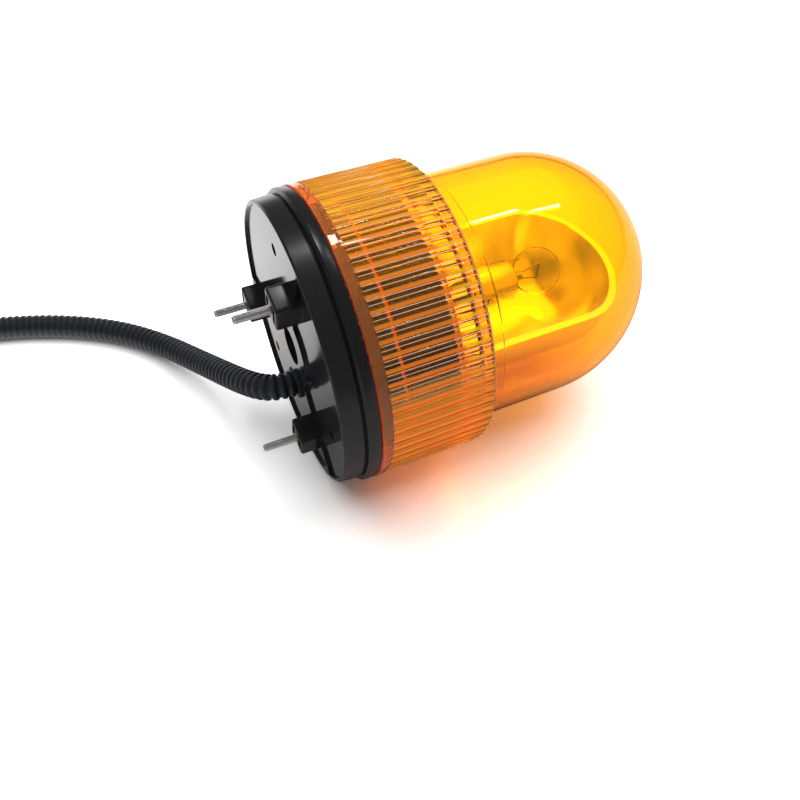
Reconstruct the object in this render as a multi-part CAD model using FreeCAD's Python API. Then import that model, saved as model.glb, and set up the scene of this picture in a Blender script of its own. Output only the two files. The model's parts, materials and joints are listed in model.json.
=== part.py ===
import FreeCAD, Part
import math
import os

os.makedirs("parts", exist_ok=True)
V = FreeCAD.Vector

# Rotating beacon, lying on its side. Sizes in millimetres.
# The lamp axis is the row's X axis, dome towards +X, and "x" below is a distance along it from the
# rim of the base cover. Parts are drawn on that axis and moved to the row frame when exported.

# ---- driving dimensions ----
# Heights along the lamp axis follow one another from the rim upwards, and the shells' radii follow one
# another from the gear train outwards. FIT, GAP and ROOM name the clearances between pieces.

# underside of the base cover
PLATE_RECESS = 1.0      # underside plate, below the rim
PLATE_T = 2.5
PLATE_TOP = PLATE_RECESS + PLATE_T
LIP_W = 1.5             # width of the rim's edge
LIP_EDGE = 0.3
BOSS_R = 14.7           # round boss in the middle of the underside
BOSS_HOLE_R = 7.0
BOSS_HOLE_DEPTH = 2.6
RIB_T = 1.1             # three radial ribs from the boss to the rim
COVER_H = 7.1           # height of the cover's wall

# mounting posts and studs
POST_PCD = 63.0
POST_ANGLES = (112.6, -127.4, -7.4)
POST_SIDE = 10.4
POST_TURN = 15.4        # the posts stand parallel, turned by this angle
POST_CORNER = 1.3
POST_EDGE = 0.8         # round of the posts' ends
POST_OUT = 7.35         # posts and studs, beyond the rim
STUD_OUT = 19.4
STUD_R = 1.5
STUD_TIP = 0.6
STUD_SHANK_R = 1.4      # moulded into the post
STUD_NECK = 0.7         # from the plate to the head
STUD_HEAD_R = 2.8
STUD_HEAD_H = 1.8
WEB_W = 4.0             # wall that carries the stud inside a post
POCKET_W = 1.9
POCKET_L = 7.4
POCKET_DEPTH = 6.6

# screws that hold the cover to the housing
SCREW_PCD = 72.0
SCREW_ANGLES = (77.6, -42.4, -162.4)
SCREW_HOLE_R = 2.1
SCREW_R = 1.4
SCREW_LENGTH = 9.0
SCREW_HEAD_R = 2.0
SCREW_HEAD_H = 1.6
SCREW_SLOT_W = 0.6
SCREW_SLOT_L = 2.6
SCREW_SLOT_DEPTH = 0.7
SCREW_BOSS_R = 3.8
SCREW_BOSS_H = 12.0
SCREW_WEB_T = 2.4

# cord outlet, in the underside
GLAND_Y, GLAND_Z = 2.2, -20.9
GLAND_R = 6.0
GLAND_BORE_R = 2.6
GLAND_FIT = 0.1
GLAND_FLANGE_W = 1.6
GLAND_FLANGE_T = 1.6
GLAND_IN = 3.0          # beyond the plate, inside
GLAND_OUT = 0.3
CORD_R = 5.0
WIRE_R = 1.0

# gear train
MODULE_RING = 0.8
RING_TEETH = 60
SMALL_TEETH = 12
MODULE_MOTOR = 0.5
BIG_TEETH = 40
PINION_TEETH = 10
MOTOR_ANGLE = 163.0     # the motor from the idler, measured from +Y towards +Z
PIN_R = 1.0
PIN_FIT = 0.05
PIN_OVER = 1.2
IDLER_HUB_R = 3.0
DECK_HOLE_R = 6.3

# motor and the plate that carries it
MOTOR_R = 12.2
MOTOR_H = 20.0
MOTOR_WALL = 0.8
END_CAP_T = 1.5
MAGNET_T = 2.4
ARMATURE_R = 7.6
COMMUTATOR_R = 2.4
COMMUTATOR_H = 2.0
SHAFT_R = 0.75
SHAFT_HOLE_R = 1.6
MOTOR_PLATE_T = 1.2
MOTOR_PLATE_R = 9.0     # the plate's rounds, about the motor, the idler and the standoffs
IDLER_PLATE_R = 4.0
STANDOFF_PLATE_R = 3.6
PLATE_BAR_W = 6.4
STANDOFF_R = 3.2
IDLER_TO_STANDOFF = (15.5, 4.3)
MOTOR_TO_STANDOFF = (-15.55, 11.65)
PLATE_SCREW_R = 1.0
PLATE_SCREW_LENGTH = 4.8
PLATE_SCREW_HEAD_R = 2.0
PLATE_SCREW_HEAD_H = 1.4
PLATE_SCREW_ROOM = 0.4
PLATE_HOLE_R = 1.2

idler_y, idler_z = 0.0, -MODULE_RING * (RING_TEETH + SMALL_TEETH) / 2
motor_reach = MODULE_MOTOR * (BIG_TEETH + PINION_TEETH) / 2
motor_y = idler_y + motor_reach * math.cos(math.radians(MOTOR_ANGLE))
motor_z = idler_z + motor_reach * math.sin(math.radians(MOTOR_ANGLE))

# heights of the gear train, from the plate up
MOTOR_LOW = PLATE_TOP + 7.5
MOTOR_TOP = MOTOR_LOW + MOTOR_H
BIG_LOW = MOTOR_TOP + 3.2
BIG_TOP = BIG_LOW + 3.8
SHAFT_TOP = BIG_TOP + 0.6
DECK_T = 2.0
DECK_LOW = BIG_TOP + 2.0
DECK_TOP = DECK_LOW + DECK_T
SMALL_LOW = DECK_TOP + 1.5
RING_LOW = DECK_TOP + 2.5
RING_H = 4.0
RING_TOP = RING_LOW + RING_H
IDLER_TOP = RING_TOP + 0.5

# housing: can, spigot that the lens turns on, upper black tier
MOTOR_ROOM = 1.958      # from the motor to the can's wall
CAN_WALL = 2.0
CAN_IN_R = math.hypot(motor_y, motor_z) + MOTOR_R + MOTOR_ROOM
CAN_R = CAN_IN_R + CAN_WALL
SLOT_FLOOR = 2.9        # from the can to the bottom of the bayonet slots
SLOT_DEPTH = 1.95
SPIGOT_FLOOR_R = CAN_R + SLOT_FLOOR
SPIGOT_R = SPIGOT_FLOOR_R + SLOT_DEPTH
SKIRT_FIT = 0.35
SKIRT_WALL = 2.35
SKIRT_IN_R = SPIGOT_R + SKIRT_FIT
SKIRT_R = SKIRT_IN_R + SKIRT_WALL       # between the ribs
SKIRT_BORE_R = SKIRT_IN_R - 1.4
FLANGE_STEP = 0.7
LENS_FLANGE_R = SKIRT_R + FLANGE_STEP
TIER_UNDER = 0.25       # the tier stands back from the lens flange
TIER_R = LENS_FLANGE_R - TIER_UNDER
RIM_STEP = 2.0          # the base cover stands back from the tier
RIM_R = TIER_R - RIM_STEP
COVER_DRAFT = 0.4
COVER_TOP_R = RIM_R + COVER_DRAFT       # at its joint with the housing
COVER_WALL = 3.2
COVER_WALL_IN = RIM_R - COVER_WALL
GROOVE_DEPTH = 0.8
GROOVE_R = COVER_TOP_R - GROOVE_DEPTH
GROOVE_W = 0.5
TIER_LOW = COVER_H + GROOVE_W
TIER_H = 4.25
TIER_TOP = TIER_LOW + TIER_H
SPIGOT_H = 8.65
SPIGOT_TOP = TIER_TOP + SPIGOT_H
BORE_STEP = SPIGOT_TOP + 1.5    # the skirt is thicker above the spigot
CAN_EDGE = 0.8

# seal in its groove
SEAL_W = 1.4
SEAL_ROOM = 0.3
SEAL_IN_R = SPIGOT_R + 1.05
SEAL_OUT_R = SEAL_IN_R + SEAL_W
SEAL_SUNK = 0.95
SEAL_PROUD = 0.1
SEAL_LOW = TIER_TOP - SEAL_SUNK
SEAL_TOP = TIER_TOP + SEAL_PROUD
SEAL_FIT = 0.02

# lens: flange, ribbed skirt, shoulder, foot ring, dome
LENS_WALL = 2.3
LENS_GAP = 0.3
LENS_LOW = TIER_TOP + LENS_GAP
LENS_FLANGE_TOP = LENS_LOW + 3.05
SKIRT_H = 39.9
SHOULDER = LENS_LOW + SKIRT_H
SHOULDER_ROUND = 2.2
SHOULDER_STEP = 6.55    # from the skirt in to the dome
RIBS = 72
RIB_H = 0.6
LENS_RIB_W = 1.5
DOME_R = SKIRT_R - SHOULDER_STEP
FOOT_PROUD = 0.7        # ring at the foot of the dome
FOOT_H = 5.95
DOME_STRAIGHT = 32.2
FOOT_R = DOME_R + FOOT_PROUD
FOOT_TOP = SHOULDER + FOOT_H
DOME_ARC_X = FOOT_TOP + DOME_STRAIGHT
LUG_ANGLES = (60.0, 180.0, 300.0)
LUG_SPAN = 12.0         # bayonet lugs, in degrees, and their slots
LUG_GAP = 2.0
LUG_ROOM = 0.4
LUG_H = 2.8
LUG_LOW = TIER_TOP + 2.55
LUG_TOP = LUG_LOW + LUG_H
LUG_IN_R = SPIGOT_FLOOR_R + LUG_ROOM
LOCK_TURN = 20.0
GAP_SPAN = 66.0         # the spigot is open above each lug, and its middle is past the lug
GAP_LEAD = 16.0

# bulb, its socket and the tower that carries them
BULB_CAP_R = 7.5
CAP_EDGE = 1.2
CAP_PIN_R = 1.0
CAP_PIN_OUT = 1.3
SOCKET_FIT = 0.25
SOCKET_WALL = 0.75
SOCKET_IN_R = BULB_CAP_R + SOCKET_FIT
TOWER_BORE_R = SOCKET_IN_R + SOCKET_WALL
TOWER_WALL = 1.5
TOWER_R = TOWER_BORE_R + TOWER_WALL
WIRE_HOLE_R = 4.0       # in the floor under the socket
FLOOR_T = 2.0

# rotor: carrier, clip
CARRIER_LOW = DECK_TOP + 1.0
CARRIER_TOP = RING_TOP + 8.5
CARRIER_FIT = 0.06
CARRIER_WALL = 2.54
CARRIER_R = TOWER_R + CARRIER_FIT + CARRIER_WALL
CARRIER_SLEEVE = 0.6    # the carrier's sleeve above the ring gear is that much thicker
CARRIER_FLANGE_R = 22.0
CARRIER_FLANGE_T = 2.0
RING_FLANGE_R = 20.0
RING_FLANGE_T = 1.8
CLIP_T = 1.0
CLIP_W = 3.6
CLIP_SINK = 0.5
CLIP_ROOM = 0.05
CLIP_LIFT = 0.25        # above the carrier
CLIP_MOUTH = 13.0
CLIP_R = TOWER_R + CLIP_W

TOWER_TOP = CARRIER_TOP + 9.0
SOCKET_LOW = TOWER_TOP - 10.0
SOCKET_TOP = TOWER_TOP + 10.0
SOCKET_PIN_DEPTH = 2.6
SOCKET_SLOT_W = 2.4
INSULATOR_LIFT = 8.0
INSULATOR_T = 2.0
CONTACT_R = 1.6
CONTACT_FOOT_R = 2.6
CONTACT_TIP_R = 2.4
CONTACT_TIP_H = 1.4
CAP_LOW = SOCKET_TOP - 6.0
CAP_H = 16.0
CAP_TOP = CAP_LOW + CAP_H
GLASS_R = 9.2
GLASS_WALL = 0.6
GLASS_NECK_R = 6.6
GLASS_RISE = 11.8       # from the cap to the middle of the glass ball
STEM_R = 1.7
STEM_H = 5.0
SUPPORT_R = 0.25
SUPPORT_LIFT = 9.0
SUPPORT_LEAN = 2.2
SUPPORT_Z = 1.2
FILAMENT_R = 0.45
FILAMENT_LENGTH = 7.0

# reflector: half-round bowl with an oval nose
REFLECTOR_R = 29.4      # inside
REFLECTOR_WALL = 1.0
REFLECTOR_RIM = 1.6
REFLECTOR_RIM_T = 1.0
REFLECTOR_LOW = CARRIER_TOP
REFLECTOR_LENGTH = 45.0
REFLECTOR_ARC_X = REFLECTOR_LOW + REFLECTOR_LENGTH
REFLECTOR_NOSE = 22.0
REFLECTOR_ROUND = 16.0  # shoulder of the oval nose
REFLECTOR_CUT = 3.5     # height of the rim above the axis
REFLECTOR_TURN = 4.0    # the mouth faces up, turned by this angle
REFLECTOR_BORE_ROOM = 1.4
SPOT_R = 18.6           # screws that hold the reflector on the carrier
SPOT_ANGLES = (-35.0, -145.0)
SPOT_SCREW_R = 0.9
SPOT_FIT = 0.25
SPOT_HEAD_R = 1.9
SPOT_HEAD_H = 1.3
SPOT_DEPTH = 4.5
SPOT_ROOM = 0.5

# wiring board, hung from the deck
BOARD_T = 1.6
BOARD_W, BOARD_L = 22.0, 22.0
BOARD_Y, BOARD_Z = 12.0, -8.0
BOARD_DROP = 14.4       # from its top to the deck
CAPACITOR_R = 3.2
CAPACITOR_H = 8.4
CAPACITOR_PITCH = 7.8
CAPACITOR_IN = (8.6, 14.0)
TERMINAL_IN = (5.0, 1.0)
TERMINAL_W, TERMINAL_L, TERMINAL_H = 16.0, 8.0, 8.0
SPACER_R = 1.8
SPACER_IN = 2.4
SPACER_PITCH = 16.8

AXIS_HEIGHT = LENS_FLANGE_R
DOME_END = DOME_ARC_X + DOME_R
SHIFT = V(-(DOME_END - STUD_OUT) / 2, 0, AXIS_HEIGHT)
X = V(1, 0, 0)
BEYOND = 1.0            # cutting tools run past the faces that they cut by this much


# ---- helpers ----
def rod(r, x0, x1, y=0.0, z=0.0):
    return Part.makeCylinder(r, x1 - x0, V(x0, y, z), X)


def tube(r_in, r_out, x0, x1, y=0.0, z=0.0):
    return rod(r_out, x0, x1, y, z).cut(rod(r_in, x0 - BEYOND, x1 + BEYOND, y, z))


def box(x0, x1, y0, y1, z0, z1):
    return Part.makeBox(x1 - x0, y1 - y0, z1 - z0, V(x0, y0, z0))


def turn(shape, angle, y=0.0, z=0.0):
    """The shape, turned about a line along X."""
    out = shape.copy()
    out.rotate(V(0, y, z), X, angle)
    return out


def edges(points):
    """Edges through (x, r) points; a third value makes the next stretch an arc through that middle."""
    out = []
    count = len(points)
    for i in range(count):
        a, b = points[i], points[(i + 1) % count]
        start, end = V(a[0], 0, a[1]), V(b[0], 0, b[1])
        if len(a) == 3:
            out.append(Part.Arc(start, V(a[2][0], 0, a[2][1]), end).toShape())
        else:
            out.append(Part.makeLine(start, end))
    return out


def turned(points, angle=360.0):
    """Solid of revolution about the lamp axis from a closed (x, r) outline."""
    face = Part.Face(Part.Wire(edges(points)))
    return face.revolve(V(0, 0, 0), X, angle)


def sector(r_in, r_out, x0, x1, middle, span):
    """Piece of a ring, about an angle measured from +Y towards +Z."""
    solid = turned([(x0, r_in), (x1, r_in), (x1, r_out), (x0, r_out)], span)
    return turn(solid, middle - 90.0 - span / 2)


def polar(r, angle):
    a = math.radians(angle)
    return r * math.cos(a), r * math.sin(a)


def fuse(shapes):
    return shapes[0].multiFuse(shapes[1:]) if len(shapes) > 1 else shapes[0]


def arc_middle(cx, r, a0):
    """Point on a circle about (cx, 0), half-way from the angle a0 to the axis."""
    a = math.radians(a0 / 2)
    return cx + r * math.cos(a), r * math.sin(a)


def gear(module, teeth, x0, x1, y=0.0, z=0.0, first=0.0):
    """Spur gear with straight-sided teeth and a little backlash; a tooth stands at the angle first."""
    pitch = module * teeth / 2
    root, tip = pitch - 1.25 * module, pitch + 0.95 * module
    step = 2 * math.pi / teeth
    points = []
    for k in range(teeth):
        at = math.radians(first) + k * step
        for r, half in ((root, 0.33), (pitch, 0.225), (tip, 0.12)):
            points.append((r, at - half * step))
        for r, half in ((tip, 0.12), (pitch, 0.225), (root, 0.33)):
            points.append((r, at + half * step))
    ring = [V(x0, y + r * math.cos(a), z + r * math.sin(a)) for r, a in points]
    face = Part.Face(Part.makePolygon(ring + ring[:1]))
    return face.extrude(V(x1 - x0, 0, 0))


def export(name, shape, moved=True):
    """Write one sub-part, in the row frame."""
    if shape.ShapeType == "Compound" and len(shape.Solids) == 1:
        shape = shape.Solids[0]
    shape = shape.removeSplitter()
    out = shape.copy()
    if moved:
        out.translate(SHIFT)
    box_ = out.BoundBox
    print("%-18s solids %d valid %s volume %9.1f  x %.1f..%.1f y %.1f..%.1f z %.1f..%.1f" % (
        name, len(out.Solids), out.isValid(), out.Volume,
        box_.XMin, box_.XMax, box_.YMin, box_.YMax, box_.ZMin, box_.ZMax))
    out.exportStep("parts/%s.step" % name)


# ---- base cover: rim, plate, boss, ribs, posts ----
lip_in = RIM_R - LIP_W
cover = turned([
    (PLATE_RECESS, 0), (PLATE_RECESS, lip_in), (LIP_EDGE, lip_in), (0, lip_in + LIP_EDGE),
    (0, RIM_R - 2 * LIP_EDGE), (2 * LIP_EDGE, RIM_R), (COVER_H - 0.5, COVER_TOP_R),
    (COVER_H, COVER_TOP_R - 0.5), (COVER_H, COVER_WALL_IN), (PLATE_TOP, COVER_WALL_IN), (PLATE_TOP, 0)])
grown = [rod(BOSS_R, 0.0, PLATE_TOP)]
for angle in POST_ANGLES:
    rib = box(0.0, PLATE_TOP, BOSS_R - 1, lip_in + LIP_W / 3, -RIB_T / 2, RIB_T / 2)
    grown.append(turn(rib, angle))
    y, z = polar(POST_PCD / 2, angle)
    side = POST_SIDE / 2
    post = box(-POST_OUT, PLATE_TOP, y - side, y + side, z - side, z + side)
    corners = [e for e in post.Edges if abs(e.tangentAt(e.FirstParameter).x) > 0.9]
    post = post.makeFillet(POST_CORNER, corners)
    end = [e for e in post.Edges if e.BoundBox.XMax < -POST_OUT + 0.01]
    post = post.makeFillet(POST_EDGE, end)
    grown.append(turn(post, POST_TURN, y, z))
cover = cover.multiFuse(grown)
taken = [rod(BOSS_HOLE_R, -BEYOND, BOSS_HOLE_DEPTH),
         rod(GLAND_R + GLAND_FIT, -BEYOND, PLATE_TOP + BEYOND, GLAND_Y, GLAND_Z)]
for angle in POST_ANGLES:
    y, z = polar(POST_PCD / 2, angle)
    for way in (-1, 1):
        low = WEB_W / 2 if way > 0 else -WEB_W / 2 - POCKET_W
        pocket = box(-POST_OUT - BEYOND, -POST_OUT + POCKET_DEPTH, y + low, y + low + POCKET_W,
                     z - POCKET_L / 2, z + POCKET_L / 2)
        taken.append(turn(pocket, POST_TURN, y, z))
    taken.append(rod(STUD_SHANK_R, -POST_OUT - BEYOND, PLATE_TOP + BEYOND, y, z))
for angle in SCREW_ANGLES:
    y, z = polar(SCREW_PCD / 2, angle)
    taken.append(rod(SCREW_HOLE_R, -BEYOND, PLATE_TOP + BEYOND, y, z))
cover = cover.cut(fuse(taken))
export("base_cover", cover)

# ---- mounting studs and cover screws ----
studs, screws = [], []
for angle in POST_ANGLES:
    y, z = polar(POST_PCD / 2, angle)
    tip = Part.makeCone(STUD_R - 0.35, STUD_R, STUD_TIP, V(-STUD_OUT, y, z), X)
    thread = rod(STUD_R, -STUD_OUT + STUD_TIP, -POST_OUT, y, z)
    shank = rod(STUD_SHANK_R, -POST_OUT, PLATE_TOP + STUD_NECK, y, z)
    head = rod(STUD_HEAD_R, PLATE_TOP, PLATE_TOP + STUD_HEAD_H, y, z)
    studs.append(fuse([tip, thread, shank, head]))
for angle in SCREW_ANGLES:
    y, z = polar(SCREW_PCD / 2, angle)
    head = rod(SCREW_HEAD_R, PLATE_TOP - SCREW_HEAD_H, PLATE_TOP, y, z)
    reach, half = SCREW_SLOT_L / 2, SCREW_SLOT_W / 2
    cross = box(PLATE_TOP - SCREW_HEAD_H - BEYOND, PLATE_TOP - SCREW_HEAD_H + SCREW_SLOT_DEPTH,
                y - reach, y + reach, z - half, z + half)
    head = head.cut(cross).cut(turn(cross, 90, y, z))
    screws.append(fuse([head, rod(SCREW_R, PLATE_TOP, PLATE_TOP + SCREW_LENGTH, y, z)]))
export("mount_studs", Part.makeCompound(studs))
export("cover_screws", Part.makeCompound(screws))

# ---- housing: upper tier, spigot, can, deck, tower ----
groove_low = SEAL_LOW - SEAL_FIT
housing = turned([
    (TIER_LOW, CAN_IN_R), (TIER_LOW, GROOVE_R), (TIER_LOW, TIER_R - 0.9),
    (TIER_LOW + 0.9, TIER_R), (TIER_TOP - 0.7, TIER_R), (TIER_TOP, TIER_R - 0.3),
    (TIER_TOP, SEAL_OUT_R + SEAL_ROOM), (groove_low, SEAL_OUT_R + SEAL_ROOM),
    (groove_low, SEAL_IN_R - SEAL_ROOM), (TIER_TOP, SEAL_IN_R - SEAL_ROOM),
    (TIER_TOP, SPIGOT_R), (SPIGOT_TOP - 0.5, SPIGOT_R), (SPIGOT_TOP, SPIGOT_R - 0.5),
    (SPIGOT_TOP, CAN_R), (DECK_TOP - CAN_EDGE, CAN_R), (DECK_TOP, CAN_R - CAN_EDGE),
    (DECK_TOP, TOWER_R), (TOWER_TOP, TOWER_R), (TOWER_TOP, TOWER_BORE_R),
    (SOCKET_LOW, TOWER_BORE_R), (SOCKET_LOW, WIRE_HOLE_R), (SOCKET_LOW - FLOOR_T, WIRE_HOLE_R),
    (SOCKET_LOW - FLOOR_T, TOWER_BORE_R), (DECK_LOW, TOWER_BORE_R), (DECK_LOW, CAN_IN_R)])
joint_ring = tube(COVER_WALL_IN - 2.6, COVER_WALL_IN - 0.2, PLATE_TOP + 1.5, TIER_LOW + 1.0)
link = turned([(TIER_LOW, CAN_IN_R), (TIER_LOW, GROOVE_R), (COVER_H, GROOVE_R),
               (COVER_H, COVER_WALL_IN - 1), (TIER_LOW - 1.5, COVER_WALL_IN - 1),
               (TIER_LOW - 1.5, CAN_IN_R)])
added = [joint_ring, link]
for angle in SCREW_ANGLES:
    y, z = polar(SCREW_PCD / 2, angle)
    added.append(rod(SCREW_BOSS_R, PLATE_TOP, PLATE_TOP + SCREW_BOSS_H, y, z))
    web = box(PLATE_TOP, PLATE_TOP + SCREW_BOSS_H, SCREW_PCD / 2, CAN_R - 0.5,
              -SCREW_WEB_T / 2, SCREW_WEB_T / 2)
    added.append(turn(web, angle))

plate_low = MOTOR_TOP
plate_top = MOTOR_TOP + MOTOR_PLATE_T
STANDOFFS = ((idler_y + IDLER_TO_STANDOFF[0], idler_z + IDLER_TO_STANDOFF[1]),
             (motor_y + MOTOR_TO_STANDOFF[0], motor_z + MOTOR_TO_STANDOFF[1]))
for y, z in STANDOFFS:
    added.append(rod(STANDOFF_R, plate_top, DECK_LOW + 0.5, y, z))
housing = housing.multiFuse(added)
clip_low = CARRIER_TOP + CLIP_LIFT
taken = [rod(DECK_HOLE_R, DECK_LOW - BEYOND, DECK_TOP + BEYOND, idler_y, idler_z),
         tube(TOWER_R - CLIP_SINK, TOWER_R + BEYOND, clip_low - CLIP_ROOM, clip_low + CLIP_T + CLIP_ROOM)]
for angle in SCREW_ANGLES:
    y, z = polar(SCREW_PCD / 2, angle)
    taken.append(rod(SCREW_R, PLATE_TOP - BEYOND, PLATE_TOP + SCREW_LENGTH + 0.5, y, z))
for y, z in STANDOFFS:
    taken.append(rod(PLATE_SCREW_R, plate_top - BEYOND, plate_top + PLATE_SCREW_LENGTH + PLATE_SCREW_ROOM,
                     y, z))
entry = LUG_SPAN + 2 * LUG_GAP
slot_low = LUG_LOW - LUG_ROOM
for angle in LUG_ANGLES:
    taken.append(sector(CAN_R, SPIGOT_R + 2, TIER_TOP, SPIGOT_TOP + BEYOND, angle + GAP_LEAD, GAP_SPAN))
    taken.append(sector(SPIGOT_FLOOR_R, SPIGOT_R + 2, slot_low, LUG_TOP + LUG_ROOM,
                        angle - LOCK_TURN / 2, entry + LOCK_TURN))
housing = housing.cut(fuse(taken))
export("housing", housing)

# ---- gland, sealed into the underside ----
gland = fuse([rod(GLAND_R, -GLAND_OUT, PLATE_TOP + GLAND_IN, GLAND_Y, GLAND_Z),
              rod(GLAND_R + GLAND_FLANGE_W, PLATE_TOP, PLATE_TOP + GLAND_FLANGE_T, GLAND_Y, GLAND_Z)])
gland = gland.cut(rod(GLAND_BORE_R, -BEYOND, PLATE_TOP + GLAND_IN + BEYOND, GLAND_Y, GLAND_Z))
export("cord_gland", gland)

# ---- motor ----
can_in_r = MOTOR_R - MOTOR_WALL
cap_top = MOTOR_LOW + END_CAP_T
shaft_hole = rod(SHAFT_HOLE_R, MOTOR_LOW - BEYOND, MOTOR_TOP + 3, motor_y, motor_z)
can = rod(MOTOR_R, cap_top, MOTOR_TOP, motor_y, motor_z)
can = can.cut(rod(can_in_r, MOTOR_LOW, MOTOR_TOP - MOTOR_WALL, motor_y, motor_z)).cut(shaft_hole)
export("motor_can", can)
end_cap = fuse([rod(MOTOR_R, MOTOR_LOW, cap_top, motor_y, motor_z),
                rod(can_in_r, cap_top, cap_top + END_CAP_T, motor_y, motor_z)])
export("motor_end_cap", end_cap.cut(shaft_hole))
magnets = tube(can_in_r - MAGNET_T, can_in_r, MOTOR_LOW + 4, MOTOR_TOP - 2, motor_y, motor_z)
export("motor_magnets", magnets)
commutator_low = cap_top + END_CAP_T + 0.6
shaft = fuse([rod(SHAFT_R, MOTOR_LOW + 0.3, SHAFT_TOP, motor_y, motor_z),
              rod(ARMATURE_R, MOTOR_LOW + 6, MOTOR_TOP - 4, motor_y, motor_z),
              rod(COMMUTATOR_R, commutator_low, commutator_low + COMMUTATOR_H, motor_y, motor_z)])
export("motor_rotor", shaft)

holes = [rod(PIN_R, plate_low - BEYOND, plate_top + BEYOND, idler_y, idler_z), shaft_hole]
plate_corners = [(*STANDOFFS[0], STANDOFF_PLATE_R), (idler_y, idler_z, IDLER_PLATE_R),
                 (motor_y, motor_z, MOTOR_PLATE_R), (*STANDOFFS[1], STANDOFF_PLATE_R)]
rounds = [rod(r, plate_low, plate_top, y, z) for y, z, r in plate_corners]
bars = []
for (ya, za, ra), (yb, zb, rb) in zip(plate_corners[:-1], plate_corners[1:]):
    length = math.hypot(yb - ya, zb - za)
    bar = box(plate_low, plate_top, 0, length, -PLATE_BAR_W / 2, PLATE_BAR_W / 2)
    bar = turn(bar, math.degrees(math.atan2(zb - za, yb - ya)))
    bar.translate(V(0, ya, za))
    bars.append(bar)
holes += [rod(PLATE_HOLE_R, plate_low - BEYOND, plate_top + BEYOND, y, z) for y, z in STANDOFFS]
motor_plate = fuse(rounds + bars).cut(fuse(holes))
export("motor_plate", motor_plate)
plate_screws = []
for y, z in STANDOFFS:
    head = rod(PLATE_SCREW_HEAD_R, plate_low - PLATE_SCREW_HEAD_H, plate_low, y, z)
    plate_screws.append(fuse([head, rod(PLATE_SCREW_R, plate_low, plate_top + PLATE_SCREW_LENGTH, y, z)]))
export("plate_screws", Part.makeCompound(plate_screws))

# ---- gear train ----
# A ring tooth points down at the idler, so the idler shows it a gap; the same for idler and pinion.
ring = gear(MODULE_RING, RING_TEETH, RING_LOW, RING_TOP, first=-90.0)
ring = ring.cut(rod(CARRIER_R, RING_LOW - BEYOND, RING_TOP + BEYOND))
export("gear_ring", ring)
small = gear(MODULE_RING, SMALL_TEETH, SMALL_LOW, IDLER_TOP, idler_y, idler_z,
             first=90.0 + 180.0 / SMALL_TEETH)
big = gear(MODULE_MOTOR, BIG_TEETH, BIG_LOW, BIG_TOP, idler_y, idler_z, first=MOTOR_ANGLE)
idler = fuse([small, big, rod(IDLER_HUB_R, BIG_TOP, SMALL_LOW, idler_y, idler_z)])
idler = idler.cut(rod(PIN_R + PIN_FIT, BIG_LOW - BEYOND, IDLER_TOP + BEYOND, idler_y, idler_z))
export("idler_gear", idler)
export("idler_pin", rod(PIN_R, plate_low, IDLER_TOP + PIN_OVER, idler_y, idler_z))
pinion_top = SHAFT_TOP - 0.2
pinion = gear(MODULE_MOTOR, PINION_TEETH, BIG_LOW, pinion_top, motor_y, motor_z,
              first=MOTOR_ANGLE + 180.0 + 180.0 / PINION_TEETH)
pinion = pinion.cut(rod(SHAFT_R, BIG_LOW - BEYOND, SHAFT_TOP + BEYOND, motor_y, motor_z))
export("motor_pinion", pinion)

# ---- rotor: carrier, clip, reflector ----
bore_r = TOWER_R + CARRIER_FIT
sleeve_r = CARRIER_R + CARRIER_SLEEVE
flange_low = CARRIER_TOP - CARRIER_FLANGE_T
carrier = turned([
    (CARRIER_LOW, bore_r), (CARRIER_LOW, CARRIER_R), (RING_TOP, CARRIER_R),
    (RING_TOP, RING_FLANGE_R), (RING_TOP + RING_FLANGE_T, RING_FLANGE_R),
    (RING_TOP + RING_FLANGE_T, sleeve_r), (flange_low, sleeve_r),
    (flange_low, CARRIER_FLANGE_R), (CARRIER_TOP, CARRIER_FLANGE_R), (CARRIER_TOP, bore_r)])
turned_spots = [polar(SPOT_R, a + REFLECTOR_TURN) for a in SPOT_ANGLES]
for y, z in turned_spots:
    pilot = rod(SPOT_SCREW_R, CARRIER_TOP - SPOT_DEPTH - SPOT_ROOM, CARRIER_TOP + BEYOND, y, z)
    carrier = carrier.cut(pilot)
export("rotor_carrier", carrier)
clip = tube(TOWER_R - CLIP_SINK + CLIP_ROOM, CLIP_R, clip_low, clip_low + CLIP_T)
clip = clip.cut(box(CARRIER_TOP, clip_low + CLIP_T + BEYOND, -CLIP_MOUTH / 2, CLIP_MOUTH / 2,
                    0, CLIP_R + BEYOND))
export("rotor_clip", clip)


def bowl(extra, low):
    """Round bar with an oval nose, as large as the reflector's inside plus extra."""
    round_z = REFLECTOR_R - REFLECTOR_ROUND
    nose_r = ((REFLECTOR_NOSE ** 2 + round_z ** 2 - REFLECTOR_ROUND ** 2)
              / (2 * (REFLECTOR_NOSE - REFLECTOR_ROUND)))
    nose_x = REFLECTOR_ARC_X + REFLECTOR_NOSE - nose_r
    split = math.atan2(round_z, REFLECTOR_ARC_X - nose_x)
    r1, r2 = REFLECTOR_ROUND + extra, nose_r + extra

    def on_round(a):
        return REFLECTOR_ARC_X + r1 * math.cos(a), round_z + r1 * math.sin(a)

    def on_nose(a):
        return nose_x + r2 * math.cos(a), r2 * math.sin(a)

    half = (split + math.pi / 2) / 2
    return turned([(low, 0), (low, REFLECTOR_R + extra),
                   (REFLECTOR_ARC_X, REFLECTOR_R + extra, on_round(half)),
                   (*on_nose(split), on_nose(split / 2)), (nose_x + r2, 0)])


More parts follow.
